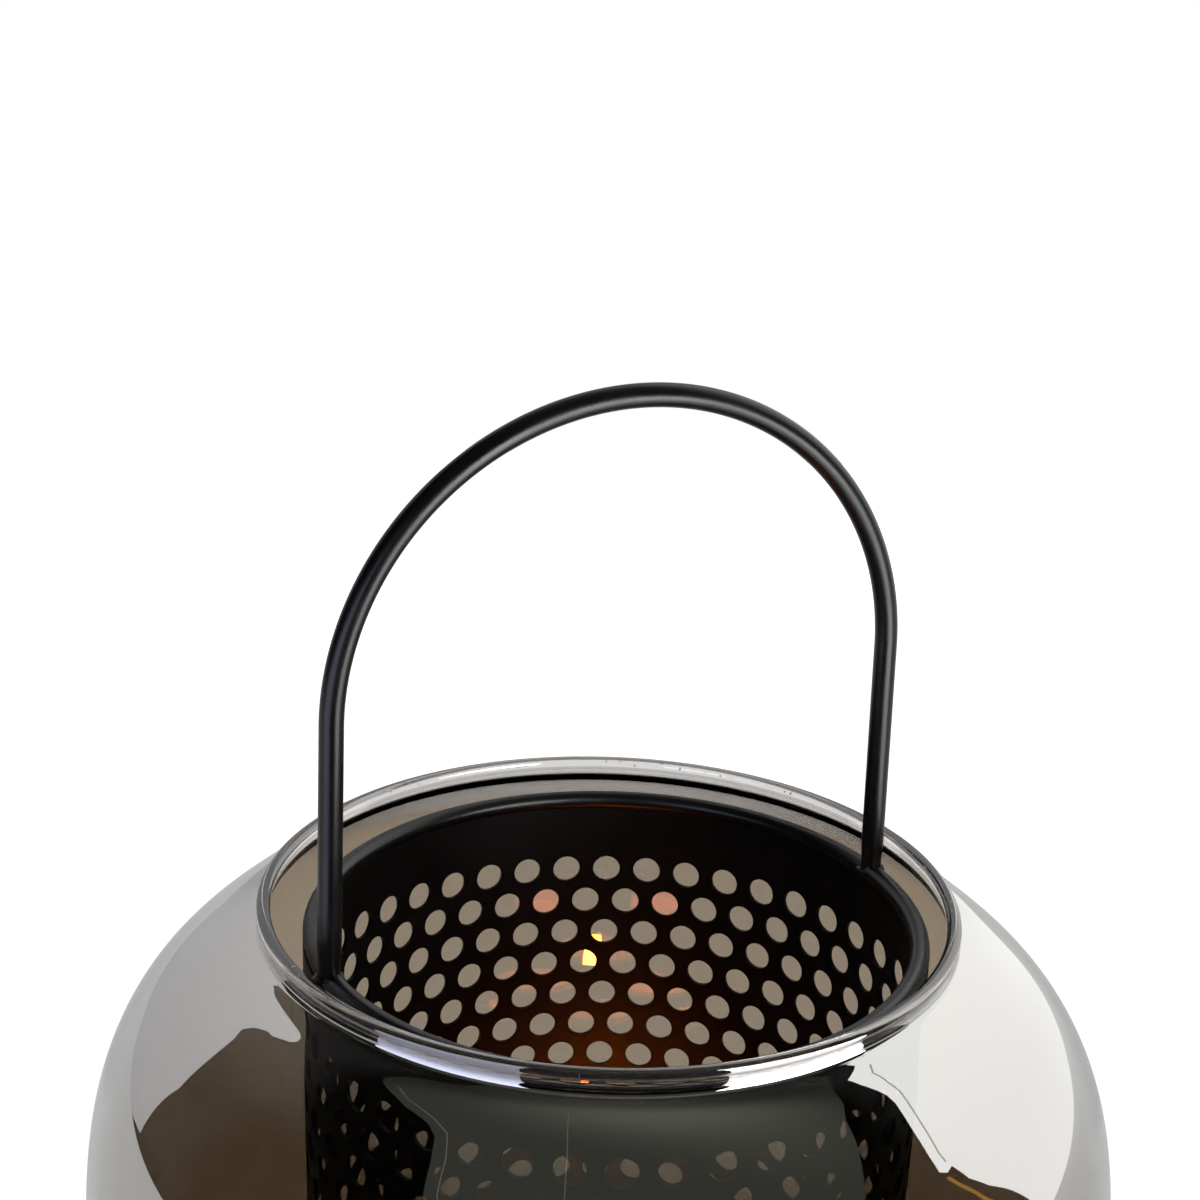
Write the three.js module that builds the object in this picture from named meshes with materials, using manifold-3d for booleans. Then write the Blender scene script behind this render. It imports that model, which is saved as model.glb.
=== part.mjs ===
// Candle lantern in millimetres, +Z up. A blown glass vessel holds a perforated steel insert, which
// lifts out by its rod handle, and a candle in a metal cup stands on the floor of the insert.
// The origin is the middle of the vessel's underside.

import * as THREE from 'three';
import { mergeVertices } from 'three/addons/utils/BufferGeometryUtils.js';
import Module from 'manifold-3d';

const wasm = await Module();
wasm.setup();

// Driving sizes: the perforated sleeve and its round rim
const sleeveRadius = 80.5; // outside
const sheet = 1; // steel sheet of the sleeve and the pan
const rimRod = 5; // thickness of the ring welded on the sleeve's top edge
const holePitch = 12; // between the middles of neighbouring holes
const holeDiameter = 8;
const topBand = 25.8; // middle of the rim ring down to the first row of holes
const footBand = 48; // least plain sheet below the middle of the last row
const seamTurn = THREE.MathUtils.degToRad(-1.7); // first column of holes, from the +X axis

// Driving sizes: the glass vessel
const glassHeight = 200; // underside to the top of the lip
const bodyRadius = 134.3; // outside, at the widest level
const widestLevel = 95.9; // above the underside
const shoulderClose = 1.6; // top of the lip down to where the shoulder's curve would close
const shoulderPower = 3.36; // 2 is an ellipse, more is squarer
const mouthLift = 3.2; // the shoulder runs that much above its curve at the collar
const mouthLiftReach = 14; // how fast the lift dies away outwards
const bowlPower = 2.9;
const wall = 3;
const floorThickness = 7;
const floorMargin = 6; // flat floor outside the sleeve
const lipBead = 3.7; // width of the fire-polished lip
const lipWrap = THREE.MathUtils.degToRad(25); // how far the lip's bead turns below its middle
const collarFillet = 2;
const mouthClearance = 3.8; // between the mouth and the widest part of the insert
const narrowGap = 1; // what is left of it where the insert stands nearest the glass
const shiftAngle = THREE.MathUtils.degToRad(40); // the insert stands a little off the middle

// Driving sizes: the handle
const handleRod = 6;
const feetOut = 0.6; // handle feet outside the middle of the rim ring
const legHeight = 62; // straight part of each leg above the rim ring's middle
const archRise = 74.4; // from the top of the legs to the middle of the rod at the top
const footHeight = 1; // foot's lowest edge above the rim ring's middle
const handleTurn = THREE.MathUtils.degToRad(28.3);

// Driving sizes: the insert's floor and feet
const rimBelowLip = 6.3; // middle of the lip down to the middle of the rim ring
const flangeHeight = 8;
const beadWidth = 5; // pressed ring that keeps the candle in the middle
const beadHeight = 2;
const padRadius = 5;
const padHeight = 2.5;
const padInset = 9; // pad's middle inside the pan's edge
const padCount = 4;

// Driving sizes: the candle
const cupRadius = 29;
const cupHeight = 16;
const cupWall = 0.5;
const cupChamfer = 2;
const candleMargin = 1.5; // between the cup and the pressed ring
const waxHeight = 9;
const waxDish = 1.5; // depth of the hollow melted round the wick
const poolRadius = 20; // radius of its floor
const wickRadius = 1.1;
const wickStand = 8; // above the wax
const clipRadius = 8;
const clipPlate = 0.4;
const clipCollar = 3.5;

// Clearance between pieces that touch on the real lantern
const seat = 0.3;

// Steps of the curved faces
const glassSteps = 32;
const rimSteps = 32;
const rimSides = 6;
const rodSides = 8;
const handleSteps = 22;
const panSteps = 20;
const padSteps = 8;
const cupSteps = 16;
const wickSides = 6;
const holeSides = 5;

// Sizes worked out from the driving ones
const sleeveInner = sleeveRadius - sheet;
const rimRadius = sleeveRadius - rimRod / 2;
const handleRadius = rimRadius + feetOut;
const insertReach = Math.max(sleeveRadius, handleRadius + handleRod / 2);
const mouthRadius = insertReach + mouthClearance + lipBead / 2;
const insertShift = mouthClearance - narrowGap;
const lipLevel = glassHeight - lipBead / 2;
const shoulderRise = glassHeight - widestLevel - shoulderClose;
const rimLevel = lipLevel - rimBelowLip;
const floorRadius = sleeveRadius + floorMargin;
const padLevel = floorThickness + seat;
const panLevel = padLevel + padHeight + seat;
const candleLevel = panLevel + sheet + seat;

// Turns a profile of [radius, height] pairs round the Z axis
function revolve(profile, steps) {
  const points = profile.map(([radius, height]) => new THREE.Vector2(radius, height));
  return new THREE.LatheGeometry(points, steps).rotateX(Math.PI / 2);
}

// Points of a squared-off ellipse, from one height to another measured from its middle
function squaredArc(radius, rise, power, fromHeight, toHeight, count) {
  const turn = (height) => Math.asin(Math.sign(height) * Math.abs(height / rise) ** (power / 2));
  const points = [];
  for (let i = 0; i <= count; i++) {
    const angle = THREE.MathUtils.lerp(turn(fromHeight), turn(toHeight), i / count);
    const height = Math.sign(angle) * rise * Math.abs(Math.sin(angle)) ** (2 / power);
    points.push([radius * Math.cos(angle) ** (2 / power), height]);
  }
  return points;
}

// Rise at which a squared-off ellipse has the given radius at the given height
function riseThrough(radius, power, atRadius, atHeight) {
  return atHeight / (1 - (atRadius / radius) ** power) ** (1 / power);
}

// Height at which a squared-off ellipse has the given radius
function heightAt(radius, rise, power, atRadius) {
  return rise * (1 - (atRadius / radius) ** power) ** (1 / power);
}

// One face of the vessel's wall, outside or inside: the bowl, the shoulder and the bend into the collar.
// inset is how far it lies inside the outer face. The shoulder is lifted a little towards the collar.
function vesselFace(inset, bottomRadius, bottomLevel, steps) {
  const radius = bodyRadius - inset;
  const rise = shoulderRise - inset;
  const drop = riseThrough(radius, bowlPower, bottomRadius, widestLevel - bottomLevel);
  const collarRadius = mouthRadius + wall / 2 - inset;
  const lift = (atRadius) => mouthLift * Math.exp(-(((atRadius - collarRadius) / mouthLiftReach) ** 2));
  const bendRadius = collarRadius + collarFillet;
  const bendLevel = heightAt(radius, rise, shoulderPower, bendRadius);
  const bowl = squaredArc(radius, drop, bowlPower, bottomLevel - widestLevel, 0, steps);
  const curve = squaredArc(radius, rise, shoulderPower, 0, bendLevel, steps).slice(1);
  const shoulder = curve.map(([r, height]) => [r, height + lift(r)]);
  const corner = heightAt(radius, rise, shoulderPower, collarRadius) + mouthLift;
  const bend = new THREE.QuadraticBezierCurve(
    new THREE.Vector2(bendRadius, bendLevel + lift(bendRadius)),
    new THREE.Vector2(collarRadius, corner),
    new THREE.Vector2(collarRadius, corner + collarFillet),
  );
  const bendPoints = bend.getPoints(2).slice(1).map((point) => point.toArray());
  return [...bowl, ...shoulder, ...bendPoints].map(([r, height]) => [r, height + widestLevel]);
}

// Glass vessel: flat underside, bowl, squared shoulder, straight collar and a rounded lip
function glassVessel() {
  const outer = vesselFace(0, floorRadius + wall, 0, 5);
  const inner = vesselFace(wall, floorRadius, floorThickness, 3);
  const bead = lipBead / 2;
  const lipCurve = new THREE.EllipseCurve(mouthRadius, lipLevel, bead, bead, -lipWrap, Math.PI + lipWrap);
  const lip = lipCurve.getPoints(4).map((point) => point.toArray());
  return revolve([[0, 0], ...outer, ...lip, ...inner.reverse(), [0, floorThickness]], glassSteps);
}

// Corners of a hole as [along, up] from its middle, anticlockwise from the top. The hole has straight
// sides and the area of the round hole.
function holeOutline() {
  const slice = (2 * Math.PI) / holeSides;
  const reach = (holeDiameter / 2) * Math.sqrt(slice / Math.sin(slice));
  const corners = [];
  for (let i = 0; i < holeSides; i++) {
    const angle = Math.PI / 2 + i * slice;
    corners.push([reach * Math.cos(angle), reach * Math.sin(angle)]);
  }
  return corners;
}

// Numbers of an outline's corners from its leftmost to its rightmost one, along its top or its bottom
function sideOf(corners, up) {
  const numbers = [...corners.keys()].sort((i, j) => corners[i][0] - corners[j][0]);
  const level = corners[numbers[0]][1];
  return numbers.filter((i) => i === numbers[0] || i === numbers.at(-1) || (corners[i][1] > level) === up);
}

// Triangles that fill the strip between two runs of points round the sleeve. A run lists the numbers of
// its points in turning order, and each step moves on along the run whose next point comes first.
function fillStrip(upper, lower, angleOf) {
  const numberAt = (run, i) => run[((i % run.length) + run.length) % run.length];
  const angleAt = (run, i) => angleOf(numberAt(run, i)) + Math.floor(i / run.length) * 2 * Math.PI;
  let up = 0;
  let down = 0;
  while (angleAt(lower, down) > angleAt(upper, up)) {
    down--;
  }
  while (angleAt(lower, down + 1) <= angleAt(upper, up)) {
    down++;
  }
  const lastDown = down + lower.length;
  const triangles = [];
  while (up < upper.length || down < lastDown) {
    const upperNext = down === lastDown || angleAt(upper, up + 1) <= angleAt(lower, down + 1);
    if (up < upper.length && upperNext) {
      triangles.push([numberAt(upper, up), numberAt(lower, down), numberAt(upper, up + 1)]);
      up++;
    } else {
      triangles.push([numberAt(upper, up), numberAt(lower, down), numberAt(lower, down + 1)]);
      down++;
    }
  }
  return triangles;
}

// Perforated sleeve: sheet rolled to a tube, with staggered rows of holes between two plain bands.
// Its triangles run only from hole to hole, so the sheet stays round between them.
function perforatedSleeve(topLevel, footLevel) {
  const middleRadius = sleeveRadius - sheet / 2;
  const around = Math.round((2 * Math.PI * middleRadius) / holePitch);
  const turn = (2 * Math.PI) / around;
  const rowPitch = (middleRadius * turn * Math.sqrt(3)) / 2;
  const firstLevel = rimLevel - topBand;
  const rows = 1 + Math.floor((firstLevel - footBand - footLevel) / rowPitch);
  const corners = holeOutline();
  const topSide = sideOf(corners, true);
  const bottomSide = sideOf(corners, false);

  // Every point lies once on the outside and once on the inside of the sheet
  const points = [];
  const addPoint = (angle, level) => points.push([angle, level]) - 1;
  const plainEdge = (level, lag) => [...Array(around).keys()].map((i) => addPoint((i + lag) * turn, level));
  const surface = [];
  const walls = [];
  const addStrip = (upper, lower) => surface.push(...fillStrip(upper, lower, (i) => points[i][0]));

  const topEdge = plainEdge(topLevel, 0.5);
  let upper = topEdge;
  for (let row = 0; row < rows; row++) {
    const lower = [];
    const next = [];
    for (let i = 0; i < around; i++) {
      const centre = (i + (row % 2) / 2) * turn;
      const level = firstLevel - row * rowPitch;
      const hole = corners.map(([along, up]) => addPoint(centre + along / middleRadius, level + up));
      lower.push(...topSide.map((j) => hole[j]));
      next.push(...bottomSide.map((j) => hole[j]));
      hole.forEach((corner, j) => walls.push([corner, hole[(j + 1) % hole.length]]));
    }
    addStrip(upper, lower);
    upper = next;
  }
  const footEdge = plainEdge(footLevel, (rows % 2) / 2);
  addStrip(upper, footEdge);
  topEdge.forEach((corner, i) => walls.push([corner, topEdge[(i + 1) % around]]));
  footEdge.forEach((corner, i) => walls.push([footEdge[(i + 1) % around], corner]));

  const positions = [];
  for (const radius of [sleeveRadius, sleeveInner]) {
    for (const [angle, level] of points) {
      positions.push(radius * Math.cos(angle), radius * Math.sin(angle), level);
    }
  }
  const inside = (i) => i + points.length;
  const index = [];
  for (const [a, b, c] of surface) {
    index.push(a, b, c, inside(a), inside(c), inside(b));
  }
  for (const [a, b] of walls) {
    index.push(a, b, inside(b), a, inside(b), inside(a));
  }
  const geometry = new THREE.BufferGeometry();
  geometry.setAttribute('position', new THREE.Float32BufferAttribute(positions, 3));
  geometry.setIndex(index);
  return geometry;
}

// Pan that closes the insert's foot: a flat sheet with a turned-up edge and a pressed ring
function basePan() {
  const edge = sleeveInner - seat;
  const beadInner = cupRadius + candleMargin;
  const beadOuter = beadInner + beadWidth;
  const slope = beadWidth / 4;
  const sheetFace = (level) => [
    [beadOuter, level],
    [beadOuter - slope, level + beadHeight],
    [beadInner + slope, level + beadHeight],
    [beadInner, level],
    [0, level],
  ];
  const under = sheetFace(panLevel).reverse();
  const top = sheetFace(panLevel + sheet);
  const flange = [
    [edge, panLevel],
    [edge, panLevel + flangeHeight],
    [edge - sheet, panLevel + flangeHeight],
    [edge - sheet, panLevel + sheet],
  ];
  return revolve([...under, ...flange, ...top], panSteps);
}

// Middle line of the handle in the XZ plane: a straight leg, a half ellipse and a second leg
class HandleLine extends THREE.Curve {
  getPoint(t) {
    const leg = legHeight - footHeight;
    const arch = Math.PI * Math.sqrt((handleRadius ** 2 + archRise ** 2) / 2);
    const along = t * (2 * leg + arch);
    if (along < leg) {
      return new THREE.Vector3(-handleRadius, 0, footHeight + along);
    }
    if (along > leg + arch) {
      return new THREE.Vector3(handleRadius, 0, footHeight + 2 * leg + arch - along);
    }
    const angle = Math.PI * (1 - (along - leg) / arch);
    return new THREE.Vector3(
      handleRadius * Math.cos(angle), 0, legHeight + archRise * Math.sin(angle));
  }
}

// Solid for a boolean cut, from a closed geometry
function solid(geometry) {
  const bare = geometry.clone();
  bare.deleteAttribute('normal');
  bare.deleteAttribute('uv');
  const merged = mergeVertices(bare, 1e-4);
  return new wasm.Manifold(new wasm.Mesh({
    numProp: 3,
    vertProperties: new Float32Array(merged.attributes.position.array),
    triVerts: new Uint32Array(merged.index.array),
  }));
}

// Geometry of a solid after its cuts
function geometryOf(manifold) {
  const mesh = manifold.getMesh();
  const geometry = new THREE.BufferGeometry();
  geometry.setAttribute('position', new THREE.BufferAttribute(mesh.vertProperties, 3));
  geometry.setIndex(new THREE.BufferAttribute(mesh.triVerts, 1));
  return geometry;
}

// Handle: a bent rod whose feet are hollowed to saddle the rim ring
function handleBar() {
  const section = new THREE.Shape().absarc(0, 0, handleRod / 2, 0, 2 * Math.PI);
  const bar = new THREE.ExtrudeGeometry(section, {
    steps: handleSteps,
    curveSegments: rodSides / 2,
    extrudePath: new HandleLine(),
  });
  const saddle = new THREE.TorusGeometry(rimRadius, rimRod / 2 + seat, rimSides, rimSteps);
  return geometryOf(solid(bar).subtract(solid(saddle)));
}

// Metal cup of the candle
function candleCup() {
  const chamfer = cupChamfer;
  const inner = cupRadius - cupWall;
  return revolve([
    [0, 0],
    [cupRadius - chamfer, 0],
    [cupRadius, chamfer],
    [cupRadius, cupHeight],
    [inner, cupHeight],
    [inner, chamfer + cupWall],
    [inner - chamfer, cupWall],
    [0, cupWall],
  ], cupSteps);
}

// Wax: burnt down by half in the cup, with room for the wick and its clip
function candleWax() {
  const edge = cupRadius - cupWall - seat;
  const foot = cupWall + seat;
  const recess = foot + clipPlate + seat;
  const bore = wickRadius + seat + clipPlate + seat;
  return revolve([
    [clipRadius + seat, foot],
    [edge - cupChamfer, foot],
    [edge, foot + cupChamfer],
    [edge, waxHeight],
    [poolRadius, waxHeight - waxDish],
    [bore, waxHeight - waxDish],
    [bore, recess],
    [clipRadius + seat, recess],
    [clipRadius + seat, foot],
  ], cupSteps);
}

// Clip that stands the wick up: a small plate with a collar
function wickClip() {
  const foot = cupWall + seat;
  const bore = wickRadius + seat;
  return revolve([
    [bore, foot],
    [clipRadius, foot],
    [clipRadius, foot + clipPlate],
    [bore + clipPlate, foot + clipPlate],
    [bore + clipPlate, foot + clipPlate + clipCollar],
    [bore, foot + clipPlate + clipCollar],
    [bore, foot],
  ], cupSteps / 2);
}

// Wick: from the cup's floor to its charred end above the wax
function candleWick() {
  const foot = cupWall + seat;
  const top = waxHeight + wickStand;
  return new THREE.CylinderGeometry(wickRadius, wickRadius, top - foot, wickSides)
    .rotateX(Math.PI / 2)
    .translate(0, 0, (foot + top) / 2);
}

const smokedGlass = { color: 0x8b857c, roughness: 0.03, metalness: 0.6, transparent: true, opacity: 0.5 };
const blackSteel = { color: 0x17171a, roughness: 0.45, metalness: 0.3 };
const clearRubber = { color: 0xb9bab6, roughness: 0.5, metalness: 0 };
const bareAluminium = { color: 0xb4b5b8, roughness: 0.35, metalness: 1 };
const whiteWax = { color: 0xf0e8d8, roughness: 0.55, metalness: 0 };
const charredCotton = { color: 0x2b2622, roughness: 0.9, metalness: 0 };

function piece(name, geometry, finish) {
  const mesh = new THREE.Mesh(geometry, new THREE.MeshStandardMaterial(finish));
  mesh.name = name;
  return mesh;
}

// The sleeve's top edge meets the rim ring from below
const edgeOffset = sleeveInner - rimRadius;
const sleeveTop = rimLevel - Math.sqrt((rimRod / 2 + seat) ** 2 - edgeOffset ** 2);

const ring = new THREE.TorusGeometry(rimRadius, rimRod / 2, rimSides, rimSteps);
const rimRing = piece('rim_ring', ring, blackSteel);
rimRing.position.z = rimLevel;
rimRing.rotation.z = handleTurn;

const handle = piece('handle_rod', handleBar(), blackSteel);
handle.position.z = rimLevel;
handle.rotation.z = handleTurn;

const sleeve = piece('perforated_sleeve', perforatedSleeve(sleeveTop, panLevel), blackSteel);
sleeve.rotation.z = seamTurn;

const insert = new THREE.Group();
insert.position.set(insertShift * Math.cos(shiftAngle), insertShift * Math.sin(shiftAngle), 0);
insert.add(
  sleeve,
  rimRing,
  handle,
  piece('base_pan', basePan(), blackSteel),
);
for (let i = 0; i < padCount; i++) {
  const disc = new THREE.CylinderGeometry(padRadius, padRadius, padHeight, padSteps);
  const pad = piece(`foot_pad_${i + 1}`, disc, clearRubber);
  const angle = handleTurn + ((i + 0.5) / padCount) * 2 * Math.PI;
  const reach = sleeveInner - padInset;
  pad.rotation.x = Math.PI / 2;
  pad.position.set(reach * Math.cos(angle), reach * Math.sin(angle), padLevel + padHeight / 2);
  insert.add(pad);
}

const candle = new THREE.Group();
candle.position.z = candleLevel;
candle.add(
  piece('candle_cup', candleCup(), bareAluminium),
  piece('candle_wax', candleWax(), whiteWax),
  piece('wick_clip', wickClip(), bareAluminium),
  piece('candle_wick', candleWick(), charredCotton),
);
insert.add(candle);

const lantern = new THREE.Group();
lantern.add(piece('glass_vessel', glassVessel(), smokedGlass), insert);

export default lantern;
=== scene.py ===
# Candle lantern: a half-mirrored smoked glass vessel, a black perforated insert that lifts out by its rod
# handle, and a lit candle in a metal cup. Sizes are in millimetres until a mesh is made of them.

import math

import bmesh
import bpy
import numpy as np
from mathutils import Matrix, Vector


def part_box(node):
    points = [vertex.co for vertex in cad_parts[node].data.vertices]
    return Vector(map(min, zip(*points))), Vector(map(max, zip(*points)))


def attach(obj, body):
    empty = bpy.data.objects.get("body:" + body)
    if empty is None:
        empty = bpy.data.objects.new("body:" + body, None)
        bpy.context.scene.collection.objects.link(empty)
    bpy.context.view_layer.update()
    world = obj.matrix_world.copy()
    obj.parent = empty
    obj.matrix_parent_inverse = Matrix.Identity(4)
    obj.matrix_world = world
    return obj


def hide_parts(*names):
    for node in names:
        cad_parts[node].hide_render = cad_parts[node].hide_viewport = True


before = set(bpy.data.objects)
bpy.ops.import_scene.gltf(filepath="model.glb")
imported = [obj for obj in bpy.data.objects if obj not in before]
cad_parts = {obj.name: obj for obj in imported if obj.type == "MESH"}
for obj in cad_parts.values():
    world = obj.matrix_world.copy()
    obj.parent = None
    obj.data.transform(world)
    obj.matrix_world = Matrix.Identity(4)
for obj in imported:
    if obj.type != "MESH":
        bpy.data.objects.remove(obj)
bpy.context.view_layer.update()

MM = 0.001


def node_box(name):
    """Lowest and highest corner of a CAD node, in millimetres."""
    low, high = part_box(name)
    return np.array(low) / MM, np.array(high) / MM


# Sizes read from the frame
sleeve_low, sleeve_high = node_box("perforated_sleeve")
glass_low, glass_high = node_box("glass_vessel")
pan_low, pan_high = node_box("base_pan")
cup_low, cup_high = node_box("candle_cup")
wax_low, wax_high = node_box("candle_wax")
wick_low, wick_high = node_box("candle_wick")
handle_high = node_box("handle_rod")[1]
insert_axis = (sleeve_low + sleeve_high)[:2] / 2
glass_height = glass_high[2]

# Sleeve: steel sheet with staggered rows of round holes, and the ring on its top edge
SLEEVE_RADIUS = 80.5
SHEET = 1.0
RIM_ROD = 5.0
COLUMNS = 42
ROWS = 11
HOLE_RADIUS = 4.0
TOP_BAND = 22.9
SEAM_TURN = math.radians(-1.7)
HOLE_SIDES = 24
rim_radius = SLEEVE_RADIUS - RIM_ROD / 2
sleeve_middle = SLEEVE_RADIUS - SHEET / 2
column_turn = 2 * math.pi / COLUMNS
row_pitch = sleeve_middle * column_turn * math.sqrt(3) / 2

# Vessel: bowl and shoulder are squared-off ellipses, under a short collar with a round lip
BODY_RADIUS = 134.3
WIDEST_LEVEL = 95.9
SHOULDER_RISE = 102.5
SHOULDER_POWER = 3.36
BOWL_POWER = 2.9
MOUTH_LIFT = 3.6
MOUTH_LIFT_REACH = 14.0
WALL = 3.0
FLOOR_THICKNESS = 7.0
FLOOR_RADIUS = 86.5
LIP_BEAD = 3.7
LIP_WRAP = math.radians(25)
LIP_SMOKE = 0.25
LIP_COAT = 0.27
MIRROR_SHARE = 0.56
CLEAR_TINT = (0.93, 0.93, 0.93, 1.0)
SMOKE_TINT = (0.235, 0.156, 0.088, 1.0)
LIP_DROP = 1.0
THIN_FROM = 150.0
THIN_SHARE = 0.4
CLEAR_FROM = 176.0
CLEAR_SHARE = 0.85
VESSEL_STEPS = 256
BUBBLES = 70
BUBBLE_RADIUS = 0.28
MOUTH_RADIUS = 87.9
COLLAR_FILLET = 1.1
lip_level = glass_height - LIP_BEAD / 2 - LIP_DROP

# Where the insert's ring sits in the mouth
RIM_BELOW_LIP = 8.2
EDGE_BELOW_RIM = 2.4
rim_level = lip_level - RIM_BELOW_LIP

# Handle
HANDLE_ROD = 6.0
LEG_HEIGHT = 64.9
FOOT_HEIGHT = 1.0
FEET_OUT = 0.6
LEAN = 1.0
HANDLE_TURN = math.radians(28.3)
NECK_HEIGHT = 7.0
NECK_DEPTH = 0.25
WELD_HEIGHT = 2.2
WELD_FOOT = 0.8
WELD_SIDES = 48
WELD_BANDS = 9
handle_radius = rim_radius + FEET_OUT
arch_rise = handle_high[2] - HANDLE_ROD / 2 - rim_level - LEG_HEIGHT

# Pan, feet and candle
FLANGE_HEIGHT = 8.0
BEND = 1.6
PRESSED_INNER = 30.5
PRESSED_WIDTH = 5.0
PRESSED_HEIGHT = 2.0
PAD_ROUND = 0.7
CUP_WALL = 0.5
CUP_ROLL = 0.6
CUP_CORNER = 2.4
GROOVE_DEPTH = 0.35
WAX_DISH = 1.5
WAX_EDGE = 0.4
POOL_RADIUS = 20.0
WICK_RADIUS = 1.1
FLAME_FOOT = 4.0
FLAME_HEIGHT = 21.0
FLAME_RADIUS = 2.8

# The photograph's camera, solved from the rows of holes, the lip and the handle: a 65 mm lens on a
# 36 mm sensor, half a metre in front and a little above
CAMERA_PLACE = (0.002145, -0.50163, 0.44493)
CAMERA_PITCH = 0.32275
CAMERA_YAW = -0.0143
CAMERA_ROLL = 0.03557
CAMERA_LENS = 64.73
CAMERA_SENSOR = 36.0

# Studio: the middle of its light patches, and how far its lines of light and its front lights are, in metres
STAGE_MIDDLE = np.array([0.0, 0.0, glass_height * 0.75 * MM])
LINE_DISTANCE = 2.1
FRONT_DISTANCE = 0.3
TABLE_REACH = 1.2
CARD_LEVEL = 0.001


def srgb(code):
    """Linear colour of an sRGB hex code: each channel c becomes ((c + 0.055) / 1.055) ** 2.4, or c / 12.92 below
    0.04045."""
    channels = [int(code[i:i + 2], 16) / 255 for i in (1, 3, 5)]
    return tuple(c / 12.92 if c <= 0.04045 else ((c + 0.055) / 1.055) ** 2.4 for c in channels) + (1.0,)


def per_mm(size):
    """Texture scale, in turns per metre, that gives features of that many millimetres."""
    return 1 / (size * MM)


def make_mesh(name, points, faces, crease=35):
    """Mesh object at the origin from points in millimetres. Doubles are merged, normals point outwards, and
    edges sharper than crease degrees stay sharp."""
    mesh = bpy.data.meshes.new(name)
    mesh.from_pydata((np.asarray(points) * MM).tolist(), [], [tuple(face) for face in faces])
    work = bmesh.new()
    work.from_mesh(mesh)
    bmesh.ops.remove_doubles(work, verts=work.verts, dist=2e-3 * MM)
    bmesh.ops.recalc_face_normals(work, faces=work.faces)
    work.to_mesh(mesh)
    work.free()
    mesh.shade_smooth()
    mesh.set_sharp_from_angle(angle=math.radians(crease))
    piece = bpy.data.objects.new(name, mesh)
    bpy.context.collection.objects.link(piece)
    return piece


def grid_faces(rows, columns, close_rows=False):
    """Quads between the points i * columns + j of a grid that is closed along j, and along i where asked."""
    i = np.arange(rows if close_rows else rows - 1)[:, None]
    j = np.arange(columns)[None, :]
    i_next = (i + 1) % rows
    j_next = (j + 1) % columns
    corners = [i * columns + j, i * columns + j_next, i_next * columns + j_next, i_next * columns + j]
    return np.stack(corners, axis=-1).reshape(-1, 4)


def cap_faces(ring, pole):
    """Triangles from a closed ring of point numbers to one pole."""
    return np.stack([ring, np.roll(ring, -1), np.full_like(ring, pole)], axis=-1)


def revolve(profile, steps, centre=(0.0, 0.0)):
    """Points (cx + r cos a, cy + r sin a, h) for each (r, h) of the profile and each angle a. A profile that starts
    and ends on the axis is closed by a pole at each end, and any other profile closes on itself."""
    profile = np.asarray(profile, float)
    on_axis = profile[0, 0] == 0 and profile[-1, 0] == 0
    rings = profile[1:-1] if on_axis else profile
    angle = 2 * np.pi * np.arange(steps) / steps
    x = centre[0] + rings[:, :1] * np.cos(angle)
    y = centre[1] + rings[:, :1] * np.sin(angle)
    z = np.repeat(rings[:, 1:], steps, axis=1)
    points = np.stack([x, y, z], axis=-1).reshape(-1, 3)
    faces = grid_faces(len(rings), steps, close_rows=not on_axis).tolist()
    if on_axis:
        poles = [(*centre, profile[0, 1]), (*centre, profile[-1, 1])]
        ring = np.arange(steps)
        last = (len(rings) - 1) * steps + ring
        faces += cap_faces(ring, len(points)).tolist() + cap_faces(last, len(points) + 1).tolist()
        points = np.vstack([points, poles])
    return points, faces


def tube(path, radii, across, sides):
    """Round tube along a flat path: point (i, j) is path i + radius i * (cos a * across + sin a * third), where third
    is square to across and to the path. Each end closes on a pole."""
    path = np.asarray(path, float)
    tangent = np.gradient(path, axis=0)
    tangent /= np.linalg.norm(tangent, axis=1, keepdims=True)
    across = np.asarray(across, float)
    third = np.cross(tangent, across)
    angle = 2 * np.pi * np.arange(sides) / sides
    spoke = np.cos(angle)[None, :, None] * across + np.sin(angle)[None, :, None] * third[:, None, :]
    rings = path[:, None, :] + np.asarray(radii, float)[:, None, None] * spoke
    points = np.vstack([rings.reshape(-1, 3), path[:1], path[-1:]])
    faces = grid_faces(len(path), sides).tolist()
    ring = np.arange(sides)
    first_pole = len(path) * sides
    faces += cap_faces(ring, first_pole).tolist()
    faces += cap_faces(first_pole - sides + ring, first_pole + 1).tolist()
    return points, faces


def turned(points, angle, centre):
    """Points turned by angle round a vertical axis and moved from the origin to that axis."""
    x, y, z = np.asarray(points, float).T
    return np.stack([centre[0] + x * np.cos(angle) - y * np.sin(angle),
                     centre[1] + x * np.sin(angle) + y * np.cos(angle), z], axis=-1)


def arc(centre, radius, start, end, count):
    """Points (cx + r cos a, cy + r sin a) as a runs from start to end, in radians."""
    angle = np.linspace(start, end, count)
    return np.stack([centre[0] + radius * np.cos(angle), centre[1] + radius * np.sin(angle)], axis=-1)


def squared_arc(radius, rise, power, low, high, count):
    """Squared-off ellipse (r / radius) ** power + (h / rise) ** power = 1 between two heights, walked by an angle t
    with r = radius * cos(t) ** (2 / power) and h = rise * sin(t) ** (2 / power), the sign of h kept."""
    ends = [math.asin(math.copysign(abs(h / rise) ** (power / 2), h)) for h in (low, high)]
    t = np.linspace(*ends, count)
    height = np.sign(t) * rise * np.abs(np.sin(t)) ** (2 / power)
    return np.stack([radius * np.cos(t) ** (2 / power), height], axis=-1)


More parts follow.
